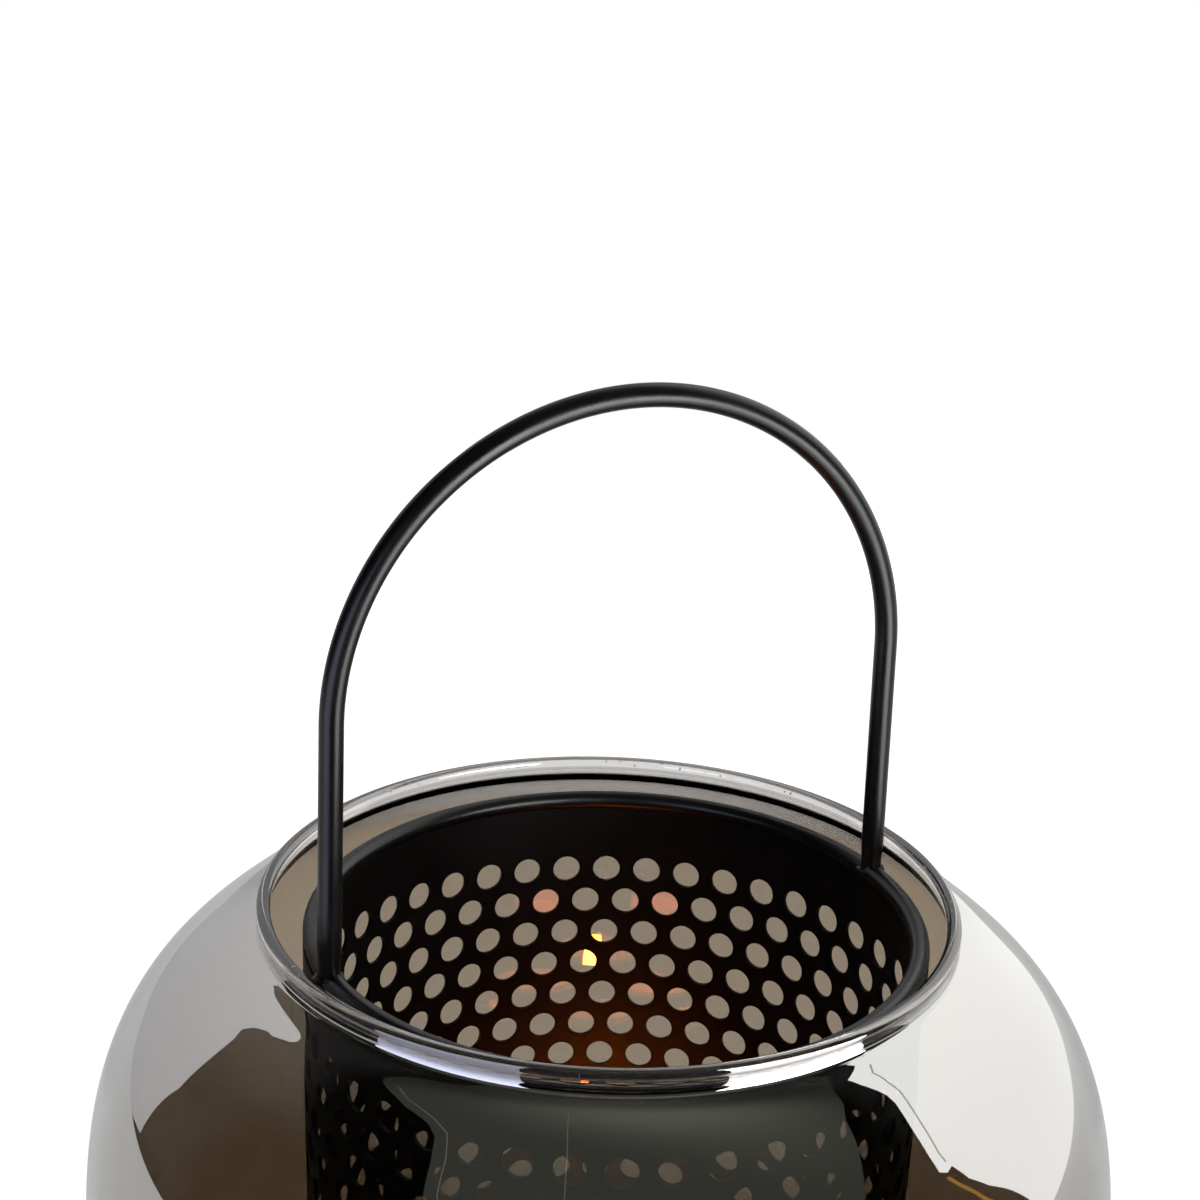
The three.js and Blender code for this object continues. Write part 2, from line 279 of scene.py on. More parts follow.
def vessel_face(inset, bottom_radius, bottom_level):
    """Profile of the vessel's wall, outside or inside, from its floor up to its collar: two squared-off ellipses that
    meet at the widest level, and a quadratic bend into the collar. Towards the collar the shoulder is lifted by
    lift * exp(-((r - collar) / reach) ** 2)."""
    radius = BODY_RADIUS - inset
    rise = SHOULDER_RISE - inset
    drop = (WIDEST_LEVEL - bottom_level) / (1 - (bottom_radius / radius) ** BOWL_POWER) ** (1 / BOWL_POWER)
    collar = MOUTH_RADIUS + WALL / 2 - inset

    def level_at(at_radius):
        return rise * (1 - (at_radius / radius) ** SHOULDER_POWER) ** (1 / SHOULDER_POWER)

    def lift(at_radius):
        return MOUTH_LIFT * np.exp(-((at_radius - collar) / MOUTH_LIFT_REACH) ** 2)

    bend_radius = collar + COLLAR_FILLET
    bend_level = level_at(bend_radius)
    corner = level_at(collar) + MOUTH_LIFT
    bowl = squared_arc(radius, drop, BOWL_POWER, bottom_level - WIDEST_LEVEL, 0, 30)
    shoulder = squared_arc(radius, rise, SHOULDER_POWER, 0, bend_level, 50)[1:]
    shoulder[:, 1] += lift(shoulder[:, 0])
    t = np.linspace(0, 1, 9)[1:, None]
    start = np.array([bend_radius, bend_level + lift(bend_radius)])
    middle = np.array([collar, corner])
    end = np.array([collar, corner + COLLAR_FILLET])
    bend = (1 - t) ** 2 * start + 2 * t * (1 - t) * middle + t ** 2 * end
    return np.vstack([bowl, shoulder, bend]) + [0, WIDEST_LEVEL]


def vessel_mesh():
    """Glass vessel: its wall's two faces, joined by a lip that is a little wider than the wall, and a thick flat
    floor whose corner is rounded. Up the shoulder, the inner face moves outwards, square to itself, by an even share
    of the wall, as blown glass thins there."""
    outer = vessel_face(0, FLOOR_RADIUS + WALL, 0)
    inner = vessel_face(WALL, FLOOR_RADIUS, FLOOR_THICKNESS)
    course = np.gradient(inner, axis=0)
    across = np.stack([course[:, 1], -course[:, 0]], axis=-1) / np.linalg.norm(course, axis=1, keepdims=True)
    thin = np.clip((inner[:, 1:] - THIN_FROM) / (inner[-1, 1] - THIN_FROM), 0, 1)
    inner += across * thin * WALL * THIN_SHARE
    lip = arc((MOUTH_RADIUS, lip_level), LIP_BEAD / 2, -LIP_WRAP, math.pi + LIP_WRAP, 25)
    under = [[0, 0], [FLOOR_RADIUS * 0.5, 0], [FLOOR_RADIUS, 0]]
    top = [[FLOOR_RADIUS * 0.5, FLOOR_THICKNESS], [0, FLOOR_THICKNESS]]
    profile = np.vstack([under, outer, lip, inner[::-1], top])
    points, faces = revolve(profile, VESSEL_STEPS)
    piece = make_mesh("vessel_glass", points, faces, crease=60)
    place = np.zeros((len(piece.data.vertices), 3), np.float32)
    piece.data.vertices.foreach_get("co", place.ravel())
    radius, height = np.hypot(place[:, 0], place[:, 1]) / MM, place[:, 2] / MM
    order = np.argsort(outer[:, 1])
    wall_middle = np.interp(height, outer[order, 1], outer[order, 0]) - WALL / 2
    lip_zone = height > outer[-1, 1] + 0.1
    coat = ((radius > wall_middle) | (height < FLOOR_THICKNESS / 2)) & ~lip_zone
    mirror = np.where(lip_zone, LIP_COAT, coat)
    clear = np.clip((height - CLEAR_FROM) / (outer[-1, 1] - CLEAR_FROM), 0, 1)
    smoke = np.where(lip_zone, LIP_SMOKE, ~coat * (1 - CLEAR_SHARE * clear))
    for name, zone in (("coat", mirror), ("smoke", smoke)):
        piece.data.attributes.new(name, "FLOAT", "POINT").data.foreach_set("value", zone.astype(np.float32))
    return piece


def bubble_mesh():
    """Air bubbles in the lip: small balls of eight sides and five bands, at seeded places in the lip's bead. The
    centre of each is at the bead's middle radius and level plus a share of the bead."""
    draw = np.random.default_rng(7)
    angle = draw.uniform(0, 2 * np.pi, BUBBLES)
    bead = LIP_BEAD / 2 - 2 * BUBBLE_RADIUS
    reach = MOUTH_RADIUS + draw.uniform(-0.8, 0.4, BUBBLES) * bead
    centres = np.stack([reach * np.cos(angle), reach * np.sin(angle),
                        lip_level + draw.uniform(-0.2, 0.55, BUBBLES) * bead], axis=-1)
    radii = BUBBLE_RADIUS * draw.uniform(0.5, 1.0, BUBBLES)
    ball, ball_faces = revolve(arc((0, 0), 1, -math.pi / 2, math.pi / 2, 6), 8)
    points = centres[:, None, :] + radii[:, None, None] * ball[None]
    faces = [[corner + i * len(ball) for corner in face] for i in range(BUBBLES) for face in ball_faces]
    return make_mesh("lip_bubbles", points.reshape(-1, 3), faces, crease=180)


def perforated_sheet():
    """Sleeve: each hole is the middle of a six-sided cell, and the cells tile the sheet. A point (along, up) from a
    hole's middle lies at angle = column + along / radius and level = row + up, on the outside and on the inside."""
    corner_reach = sleeve_middle * column_turn / math.sqrt(3)
    bearing = math.radians(30) + np.arange(7) * math.pi / 3
    corners = corner_reach * np.stack([np.cos(bearing), np.sin(bearing)], axis=-1)
    share = np.arange(HOLE_SIDES // 6)[:, None] / (HOLE_SIDES // 6)
    edge = np.vstack([corners[i] + share * (corners[i + 1] - corners[i]) for i in range(6)])
    outline = np.arctan2(edge[:, 1], edge[:, 0])
    circle = HOLE_RADIUS * np.stack([np.cos(outline), np.sin(outline)], axis=-1)
    first_level = rim_level - TOP_BAND

    row, column = np.divmod(np.arange(ROWS * COLUMNS), COLUMNS)
    angle = (column + (row % 2) / 2) * column_turn
    level = first_level - row * row_pitch
    cell = np.stack([circle, edge])
    a = angle[:, None, None] + cell[None, :, :, 0] / sleeve_middle
    h = level[:, None, None] + cell[None, :, :, 1]
    sheet_points = np.stack([a, h], axis=-1).reshape(-1, 2)
    ring = np.arange(HOLE_SIDES)
    ring_next = (ring + 1) % HOLE_SIDES
    start = (np.arange(ROWS * COLUMNS) * 2 * HOLE_SIDES)[:, None]
    cell_quads = np.stack([start + ring, start + ring_next, start + HOLE_SIDES + ring_next,
                           start + HOLE_SIDES + ring], axis=-1).reshape(-1, 4)
    hole_edges = np.stack([start + ring, start + ring_next], axis=-1).reshape(-1, 2)

    def band(side_points, cell_angle, cell_level, end_level, steps):
        """Plain band: each point of the zigzag side of a row moves straight to the sheet's edge."""
        along = (cell_angle[:, None] + side_points[None, :, 0] / sleeve_middle).reshape(-1)
        from_level = cell_level + np.tile(side_points[:, 1], len(cell_angle))
        t = np.linspace(0, 1, steps)[:, None]
        levels = from_level * (1 - t) + end_level * t
        return np.stack([np.repeat(along[None, :], steps, axis=0), levels], axis=-1)

    top_side = edge[:HOLE_SIDES // 3][::-1]
    foot_side = edge[HOLE_SIDES // 2:HOLE_SIDES * 5 // 6]
    columns_at = np.arange(COLUMNS) * column_turn
    last_angle = columns_at + ((ROWS - 1) % 2) / 2 * column_turn
    last_level = first_level - (ROWS - 1) * row_pitch
    bands = [band(top_side, columns_at, first_level, rim_level - EDGE_BELOW_RIM, 5),
             band(foot_side, last_angle, last_level, sleeve_low[2], 9)]
    faces = [cell_quads]
    edges = [hole_edges]
    for strip in bands:
        first = len(sheet_points)
        steps, around = strip.shape[:2]
        sheet_points = np.vstack([sheet_points, strip.reshape(-1, 2)])
        order = np.argsort(strip[0, :, 0])
        numbers = first + np.arange(steps * around).reshape(steps, around)[:, order]
        upper = numbers[:-1]
        lower = numbers[1:]
        quads = [upper, np.roll(upper, -1, axis=1), np.roll(lower, -1, axis=1), lower]
        faces.append(np.stack(quads, axis=-1).reshape(-1, 4))
        edges.append(np.stack([numbers[-1], np.roll(numbers[-1], -1)], axis=-1))
    surface = np.vstack(faces)
    rims = np.vstack(edges)
    a, h = sheet_points.T
    a = a + SEAM_TURN

    def at(radius):
        return np.stack([insert_axis[0] + radius * np.cos(a), insert_axis[1] + radius * np.sin(a), h], axis=-1)

    count = len(sheet_points)
    points = np.vstack([at(SLEEVE_RADIUS), at(SLEEVE_RADIUS - SHEET)])
    walls = np.stack([rims[:, 0], rims[:, 1], rims[:, 1] + count, rims[:, 0] + count], axis=-1)
    return make_mesh("sleeve_steel", points, np.vstack([surface, surface + count, walls]), crease=40)


def rim_mesh():
    """Ring: a circle turned round the insert's axis."""
    profile = arc((rim_radius, rim_level), RIM_ROD / 2, 0, 2 * math.pi, 33)[:-1]
    points, faces = revolve(profile, 240, insert_axis)
    return make_mesh("rim_steel", points, faces)


def handle_mesh():
    """Handle: a straight leg, half an ellipse and a second leg, in a plane through the insert's axis. The legs lean
    inwards a little, and the rod is drawn in just above each foot."""
    leg = np.linspace(FOOT_HEIGHT, LEG_HEIGHT, 40)[:-1]
    leg_x = handle_radius - LEAN * leg / LEG_HEIGHT
    t = np.linspace(0, math.pi, 121)
    arch_x = -(handle_radius - LEAN) * np.cos(t)
    arch_z = LEG_HEIGHT + arch_rise * np.sin(t)
    x = np.concatenate([-leg_x, arch_x, leg_x[::-1]])
    z = np.concatenate([leg, arch_z, leg[::-1]])
    path = np.stack([x, np.zeros_like(x), z + rim_level], axis=-1)
    above_foot = np.clip((z - RIM_ROD / 2) / NECK_HEIGHT, 0, 1)
    radii = HANDLE_ROD / 2 - NECK_DEPTH * (1 + np.cos(math.pi * above_foot)) / 2
    points, faces = tube(path, radii, (0, 1, 0), 32)
    return make_mesh("handle_steel", turned(points, HANDLE_TURN, insert_axis), faces)


def weld_mesh(side):
    """Weld bead round a foot: a hollow cone from the rod to the ring, whose reach changes along its turn as
    1 + 0.16 sin 3a + 0.09 sin 7a."""
    angle = 2 * np.pi * np.arange(WELD_SIDES) / WELD_SIDES
    ripple = 1 + 0.16 * np.sin(3 * angle + side) + 0.09 * np.sin(7 * angle)
    t = np.linspace(0, 1, WELD_BANDS)[:, None]
    reach = HANDLE_ROD / 2 - 0.35 + ripple * WELD_HEIGHT * 0.55 * (1 - np.sqrt(1 - (1 - t) ** 2))
    height = WELD_FOOT + ripple * WELD_HEIGHT * t
    x = side * handle_radius + reach * np.cos(angle)
    y = reach * np.sin(angle)
    points = np.stack([x, y, rim_level + height + 0 * x], axis=-1).reshape(-1, 3)
    pole_level = rim_level + WELD_FOOT
    poles = [(side * handle_radius, 0, pole_level), (side * handle_radius, 0, pole_level + WELD_HEIGHT)]
    ring = np.arange(WELD_SIDES)
    top_pole = len(points) + 1
    faces = grid_faces(WELD_BANDS, WELD_SIDES).tolist() + cap_faces(ring, top_pole - 1).tolist()
    faces += cap_faces(len(points) - WELD_SIDES + ring, top_pole).tolist()
    points = turned(np.vstack([points, poles]), HANDLE_TURN, insert_axis)
    return make_mesh(f"weld_{'right' if side > 0 else 'left'}", points, faces, crease=80)


def pan_mesh():
    """Pan: one sheet whose profile runs flat, over the pressed ring and up into the flange, with round bends."""
    floor = pan_low[2]
    edge = (pan_high - pan_low)[0] / 2
    outer = PRESSED_INNER + PRESSED_WIDTH
    swell_r = np.linspace(outer, PRESSED_INNER, 17)
    swell = PRESSED_HEIGHT * np.sin(np.pi * (outer - swell_r) / PRESSED_WIDTH) ** 2
    under = np.vstack([[[0, floor]], np.stack([swell_r, floor + swell], axis=-1)[::-1],
                       arc((edge - BEND, floor + BEND), BEND, -math.pi / 2, 0, 9)])
    top = np.vstack([arc((edge - BEND, floor + BEND), BEND - SHEET, 0, -math.pi / 2, 9),
                     np.stack([swell_r, floor + SHEET + swell], axis=-1), [[0, floor + SHEET]]])
    edge_top = arc((edge - SHEET / 2, floor + FLANGE_HEIGHT - SHEET / 2), SHEET / 2, 0, math.pi, 9)
    points, faces = revolve(np.vstack([under, edge_top, top]), 160, insert_axis)
    return make_mesh("pan_steel", points, faces)


def pad_mesh(number):
    """Foot pad: a disc with rounded edges."""
    low, high = node_box(f"foot_pad_{number}")
    radius = (high - low)[0] / 2
    edge = radius - PAD_ROUND
    profile = np.vstack([[[0, low[2]]], arc((edge, low[2] + PAD_ROUND), PAD_ROUND, -math.pi / 2, 0, 6),
                         arc((edge, high[2] - PAD_ROUND), PAD_ROUND, 0, math.pi / 2, 6), [[0, high[2]]]])
    points, faces = revolve(profile, 32, (low + high)[:2] / 2)
    return make_mesh(f"pad_{number}", points, faces)


def cup_mesh():
    """Candle cup: thin drawn sheet with a rounded foot, a shallow groove near it and a rolled rim."""
    radius = (cup_high - cup_low)[0] / 2
    floor, top = cup_low[2], cup_high[2]
    wall_z = np.linspace(floor + 3, top - 2 * CUP_ROLL, 24)
    groove = GROOVE_DEPTH * np.exp(-((wall_z - floor - 4) / 0.8) ** 2)
    side = radius - CUP_ROLL * 0.6
    corner = (side - CUP_CORNER, floor + CUP_CORNER)
    outer = np.vstack([[[0, floor]], arc(corner, CUP_CORNER, -math.pi / 2, 0, 10),
                       np.stack([side - groove, wall_z], axis=-1)])
    rim = arc((radius - CUP_ROLL, top - CUP_ROLL), CUP_ROLL, -math.pi / 4, math.pi * 1.1, 14)
    inner = np.vstack([np.stack([side - CUP_WALL - groove, wall_z], axis=-1)[::-1],
                       arc(corner, CUP_CORNER - CUP_WALL, 0, -math.pi / 2, 10), [[0, floor + CUP_WALL]]])
    points, faces = revolve(np.vstack([outer, rim, inner]), 144, insert_axis)
    return make_mesh("cup_metal", points, faces)


def wax_mesh():
    """Wax: a squat disc whose top dips from its edge to the molten pool as a smooth cosine, with a raised skin where
    the wax clings to the cup, and a low swell round the wick."""
    low, high = wax_low[2], wax_high[2]
    radius = (wax_high - wax_low)[0] / 2
    r = np.linspace(radius - WAX_EDGE, 0, 46)
    slope = np.clip((r - POOL_RADIUS) / (radius - 2.5 - POOL_RADIUS), 0, 1)
    top = high - WAX_DISH + WAX_DISH * (1 - np.cos(np.pi * slope)) / 2
    top += 0.5 * np.exp(-(r / 2.2) ** 2)
    under = np.vstack([[[0, low]], arc((radius - 2, low + 2), 2, -math.pi / 2, 0, 8),
                       arc((radius - WAX_EDGE, high - WAX_EDGE), WAX_EDGE, 0, math.pi / 2, 5)])
    profile = np.vstack([under, np.stack([r, top], axis=-1)[1:]])
    points, faces = revolve(profile, 120, insert_axis)
    return make_mesh("wax_block", points, faces, crease=60)


def wick_mesh():
    """Wick: a tube whose end leans over as the square of its height above the wax, and swells at the tip."""
    low, high = wick_low[2] + 0.4, wick_high[2] - 0.2
    t = np.linspace(0, 1, 60)
    above = np.clip((low + t * (high - low) - wax_high[2]) / (high - wax_high[2]), 0, 1)
    x = insert_axis[0] + 1.6 * above ** 2
    z = low + t * (high - low) - 0.5 * above ** 2
    path = np.stack([x, np.full_like(x, insert_axis[1]), z], axis=-1)
    strands = 1 + 0.1 * np.sin(t * 70)
    radii = WICK_RADIUS * (0.82 + 0.1 * above) * strands
    radii[-4:] *= [0.95, 0.85, 0.65, 0.35]
    points, faces = tube(path, radii, (0, 1, 0), 16)
    return make_mesh("wick_cotton", points, faces, crease=80)


def flame_mesh():
    """Flame: a drop whose radius is R * (1 - s) ** 0.8 * (s + 0.08) ** 0.45, scaled to its widest, for s from its
    foot to its tip, leaning a little as s squared."""
    s = np.linspace(0, 1, 40)
    width = (1 - s) ** 0.8 * (s + 0.08) ** 0.45
    width *= FLAME_RADIUS / width.max()
    foot = wax_high[2] + FLAME_FOOT
    path = np.stack([insert_axis[0] + 1.2 + 0.8 * s ** 2, np.full_like(s, insert_axis[1]), foot + s * FLAME_HEIGHT],
                    axis=-1)
    width[-1] = 0.05
    points, faces = tube(path, width, (0, 1, 0), 24)
    return make_mesh("flame", points, faces, crease=80)


def add_node(tree, kind, settings=None, values=None, links=None):
    """Node of that kind, with its settings, the values of its sockets, and links into its sockets."""
    item = tree.nodes.new(kind)
    for name, value in (settings or {}).items():
        setattr(item, name, value)
    for name, value in (values or {}).items():
        item.inputs[name].default_value = value
    for name, source in (links or {}).items():
        tree.links.new(source, item.inputs[name])
    return item


def new_material(name):
    """Empty material, its node tree, and the output node."""
    material = bpy.data.materials.new(name)
    material.use_nodes = True
    tree = material.node_tree
    tree.nodes.clear()
    return material, tree, add_node(tree, "ShaderNodeOutputMaterial")


def object_place(tree):
    """Socket with the point's place in metres."""
    return add_node(tree, "ShaderNodeTexCoord").outputs["Object"]


def place_part(tree, axis):
    """Socket with one coordinate, X, Y or Z, of the point's place."""
    return add_node(tree, "ShaderNodeSeparateXYZ", links={"Vector": object_place(tree)}).outputs[axis]


def noise(tree, place, size, detail=2.0):
    """Noise with features of that many millimetres."""
    return add_node(tree, "ShaderNodeTexNoise", values={"Scale": per_mm(size), "Detail": detail, "Roughness": 0.5},
                    links={"Vector": place}).outputs["Fac"]


def course_of(tree, value, start, end, low, high, kind="LINEAR"):
    """Socket that runs from low to high as the value runs from start to end, evenly or in a smooth step."""
    return add_node(tree, "ShaderNodeMapRange", settings={"interpolation_type": kind},
                    values={"From Min": start, "From Max": end, "To Min": low, "To Max": high},
                    links={"Value": value}).outputs["Result"]


def span(tree, fac, low, high):
    """Noise value spread from low to high."""
    return course_of(tree, fac, 0.3, 0.7, low, high)


def blend(tree, share, first, second):
    """Colour that goes from the first to the second as the share goes from 0 to 1."""
    mix = add_node(tree, "ShaderNodeMix", settings={"data_type": "RGBA"}, links={"Factor": share})
    mix.inputs["A"].default_value = first
    mix.inputs["B"].default_value = second
    return mix.outputs["Result"]


def reach_from(tree, place, scale, shift):
    """Length of place * scale + shift, each by its own x, y and z."""
    moved = add_node(tree, "ShaderNodeVectorMath", settings={"operation": "MULTIPLY_ADD"}, links={0: place})
    moved.inputs[1].default_value = scale
    moved.inputs[2].default_value = shift
    return add_node(tree, "ShaderNodeVectorMath", settings={"operation": "LENGTH"},
                    links={0: moved.outputs["Vector"]}).outputs["Value"]


def compute(tree, operation, first, second, clamp=False):
    """Socket with the result of that operation on two sockets."""
    return add_node(tree, "ShaderNodeMath", settings={"operation": operation, "use_clamp": clamp},
                    links={0: first, 1: second}).outputs["Value"]


def bump(tree, height, depth):
    """Bump whose height is depth millimetres at a value of 1."""
    return add_node(tree, "ShaderNodeBump", values={"Strength": 1.0, "Distance": depth * MM},
                    links={"Height": height}).outputs["Normal"]


def surface(tree, output, socket):
    """Gives the material or world its surface."""
    tree.links.new(socket, output.inputs["Surface"])


def principled(tree, output, values, links):
    """Principled shader with those values and links, as the material's surface."""
    shader = add_node(tree, "ShaderNodeBsdfPrincipled", values=values, links=links)
    surface(tree, output, shader.outputs["BSDF"])


def smoked_glass():
    """Soda-lime glass, mouth-blown, smoke-tinted, with a thin half-mirror coat outside: the coat throws back half of
    the light as a clear, colourless image, and the smoke leaves a brown quarter of it to pass. Blowing leaves slow
    waves. The coat is where the attribute "coat" is 1 and the smoke where "smoke" is 1. The smoke thins out up the
    shoulder, and the fire-polished lip is nearly clear."""
    material, tree, output = new_material("smoked_mirror_glass")
    place = object_place(tree)
    coat = add_node(tree, "ShaderNodeAttribute", settings={"attribute_name": "coat"}).outputs["Fac"]
    smoke = add_node(tree, "ShaderNodeAttribute", settings={"attribute_name": "smoke"}).outputs["Fac"]
    normal = bump(tree, noise(tree, place, 38, detail=1.0), 0.05)
    shade = blend(tree, smoke, CLEAR_TINT, SMOKE_TINT)
    principled(tree, output, {"Roughness": 0.0, "IOR": 1.5, "Transmission Weight": 1.0},
               {"Normal": normal, "Base Color": shade, "Metallic": course_of(tree, coat, 0, 1, 0, MIRROR_SHARE)})
    return material


def trapped_air():
    """Air bubble in the glass: its wall throws light back like silver, with a faint unevenness."""
    material, tree, output = new_material("trapped_air")
    uneven = noise(tree, object_place(tree), 0.4)
    principled(tree, output, {"Base Color": srgb("#f4f5f6"), "Metallic": 1.0},
               {"Roughness": span(tree, uneven, 0.1, 0.3)})
    return material


def coated_steel(name, roughness, gloss):
    """Mild steel, powder-coated and baked: a soft black gloss with a fine orange-peel grain, drawn at 0.7 mm so that
    it shows, and faint cloudiness in its gloss."""
    material, tree, output = new_material(name)
    place = object_place(tree)
    grain = noise(tree, place, 0.7, detail=3.0)
    clouds = noise(tree, place, 22, detail=4.0)
    shade = blend(tree, clouds, srgb("#060607"), srgb("#0b0b0d"))
    principled(tree, output, {"IOR": 1.5, "Specular IOR Level": gloss},
               {"Normal": bump(tree, grain, 0.03), "Base Color": shade,
                "Roughness": span(tree, clouds, roughness - 0.05, roughness + 0.05)})
    return material


def drawn_aluminium():
    """Soft aluminium sheet, deep-drawn: bright, with fine upright draw lines that stretch its highlights."""
    material, tree, output = new_material("drawn_aluminium")
    place = object_place(tree)
    stretched = add_node(tree, "ShaderNodeMapping", values={"Scale": (1.0, 1.0, 0.06)}, links={"Vector": place})
    lines = noise(tree, stretched.outputs["Vector"], 0.8, detail=3.0)
    principled(tree, output, {"Base Color": srgb("#d3d4d6"), "Metallic": 1.0},
               {"Roughness": span(tree, lines, 0.22, 0.4), "Normal": bump(tree, lines, 0.02)})
    return material


def candle_wax():
    """Paraffin wax, poured: milky and see-through at its edges, dull where it has set and wet where it has melted
    round the wick."""
    material, tree, output = new_material("poured_wax")
    place = object_place(tree)
    reach = reach_from(tree, place, (1.0, 1.0, 0.0), (-insert_axis[0] * MM, -insert_axis[1] * MM, 0.0))
    wet_edge = course_of(tree, reach, (POOL_RADIUS - 1) * MM, (POOL_RADIUS + 2) * MM, 0.06, 0.48)
    mottle = noise(tree, place, 3.5, detail=3.0)
    principled(tree, output, {"Base Color": srgb("#e8dabd"), "IOR": 1.44, "Subsurface Weight": 0.6,
                              "Subsurface Radius": (0.006, 0.0035, 0.002), "Subsurface Scale": 1.0},
               {"Roughness": wet_edge, "Normal": bump(tree, mottle, 0.06)})
    return material


def charred_cotton():
    """Braided cotton, burnt: sooty black and matt at the top, waxy and pale where the flame has not reached it, with
    an ember at the tip."""
    material, tree, output = new_material("charred_cotton")
    height = place_part(tree, "Z")
    braid = noise(tree, object_place(tree), 0.5, detail=3.0)
    char = course_of(tree, height, wax_high[2] * MM, (wax_high[2] + 2.5) * MM, 0, 1)
    ember = course_of(tree, height, (wick_high[2] - 1.8) * MM, wick_high[2] * MM, 0, 6)
    principled(tree, output, {"Roughness": 0.9, "Emission Color": srgb("#ff5a14")},
               {"Base Color": blend(tree, char, srgb("#c9bda6"), srgb("#17130f")), "Normal": bump(tree, braid, 0.2),
                "Emission Strength": ember})
    return material


def clear_silicone():
    """Silicone rubber, moulded: cloudy, a little see-through and soft to the light."""
    material, tree, output = new_material("clear_silicone")
    dust = noise(tree, object_place(tree), 1.2, detail=3.0)
    principled(tree, output, {"Base Color": srgb("#c9cac6"), "IOR": 1.41, "Transmission Weight": 0.35},
               {"Roughness": span(tree, dust, 0.35, 0.55), "Normal": bump(tree, dust, 0.03)})
    return material


def burning_vapour():
    """Candle flame: glowing soot, clear and bluish at its foot, yellow-white in its body and orange at its tip. Its
    edge thins out where the eye looks along it."""
    material, tree, output = new_material("candle_flame")
    foot = (wax_high[2] + FLAME_FOOT) * MM
    rise = course_of(tree, place_part(tree, "Z"), foot, foot + FLAME_HEIGHT * MM, 0, 1)
    colours = add_node(tree, "ShaderNodeValToRGB", links={"Fac": rise})
    ramp = colours.color_ramp
    ramp.elements[0].color = srgb("#2b3a7a")
    ramp.elements[1].color = srgb("#ff6412")
    for spot, code in ((0.22, "#ff6e18"), (0.5, "#ff8a2a")):
        ramp.elements.new(spot).color = srgb(code)
    glow = add_node(tree, "ShaderNodeEmission",
                    links={"Color": colours.outputs["Color"], "Strength": course_of(tree, rise, 0.2, 0.65, 1, 250)})
    clear = add_node(tree, "ShaderNodeBsdfTransparent")
    facing = add_node(tree, "ShaderNodeLayerWeight", values={"Blend": 0.35})
    mix = add_node(tree, "ShaderNodeMixShader", links={0: facing.outputs["Facing"], 1: glow.outputs["Emission"],
                                                       2: clear.outputs["BSDF"]})
    surface(tree, output, mix.outputs["Shader"])
    return material


def dress(piece, material, body, slot, *nodes):
    """Gives a piece its finish and its body, and hides the solids that it stands for."""
    piece.data.materials.append(material)
    if nodes:
        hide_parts(*nodes)
    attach(piece, body)
    return piece


def direction(azimuth, elevation):
    """Unit vector of a direction in degrees: azimuth 0 is toward the camera's side and 90 to the right."""
    a, e = math.radians(azimuth), math.radians(elevation)
    return np.array([math.sin(a) * math.cos(e), -math.cos(a) * math.cos(e), math.sin(e)])


def glow_material(name, colour, foot_strength, top_strength, foot, top, course="LINEAR"):
    """Light of one colour whose strength runs from one level to another, in metres."""
    material, tree, output = new_material(name)
    strength = course_of(tree, place_part(tree, "Z"), foot, top, foot_strength, top_strength, course)
    glow = add_node(tree, "ShaderNodeEmission", values={"Color": srgb(colour)}, links={"Strength": strength})
    surface(tree, output, glow.outputs["Emission"])
    return material


def ceiling_material():
    """Dim ceiling, brighter round the place above the table where lamplight falls on it: the strength runs smoothly
    from 0.56 there to 0.21 at the edge of an ellipse 1.5 m by 0.75 m in half-width, and fades to 0.35 of that behind
    the lantern."""
    material, tree, output = new_material("ceiling")
    wide, deep = 1.5, 0.75
    middle_x, middle_y = 0.4, -0.15
    reach = reach_from(tree, object_place(tree), (1 / wide, 1 / deep, 0.0), (-middle_x / wide, -middle_y / deep, 0.0))
    strength = course_of(tree, reach, 0, 1, 0.56, 0.21, "SMOOTHSTEP")
    fade = course_of(tree, place_part(tree, "Y"), -0.1, 0.45, 1.0, 0.35, "SMOOTHSTEP")
    glow = add_node(tree, "ShaderNodeEmission", values={"Color": srgb("#8a8b80")},
                    links={"Strength": compute(tree, "MULTIPLY", strength, fade)})
    surface(tree, output, glow.outputs["Emission"])
    return material


def dim_room_material():
    """Unlit room on the camera's side and overhead, as mirrors see it. The white surroundings show through it where
    the camera sees it, and behind the lantern for what shines through the glass."""
    material, tree, output = new_material("dim_room")
    ray, seen = seen_directly(tree)
    behind = course_of(tree, place_part(tree, "Y"), 0.1, 0.4, 0, 1)
    behind = compute(tree, "MULTIPLY", behind, ray.outputs["Is Transmission Ray"])
    glow = add_node(tree, "ShaderNodeEmission", values={"Color": srgb("#161616"), "Strength": 0.1})
    clear = add_node(tree, "ShaderNodeBsdfTransparent")
    mix = add_node(tree, "ShaderNodeMixShader", links={0: compute(tree, "MAXIMUM", seen, behind),
                                                       1: glow.outputs["Emission"], 2: clear.outputs["BSDF"]})
    surface(tree, output, mix.outputs["Shader"])
    return material


def stage_piece(name, points, faces, material, seen_by_camera=False):
    """Part of the studio, which isn't part of the lantern. What the camera doesn't see directly isn't seen through
    the glass either, and casts no shadow."""
    mesh = bpy.data.meshes.new(name)
    mesh.from_pydata(points, [], [tuple(face) for face in faces])
    mesh.materials.append(material)
    piece = bpy.data.objects.new(name, mesh)
    bpy.context.collection.objects.link(piece)
    piece.visible_camera = piece.visible_transmission = piece.visible_shadow = seen_by_camera
    return piece


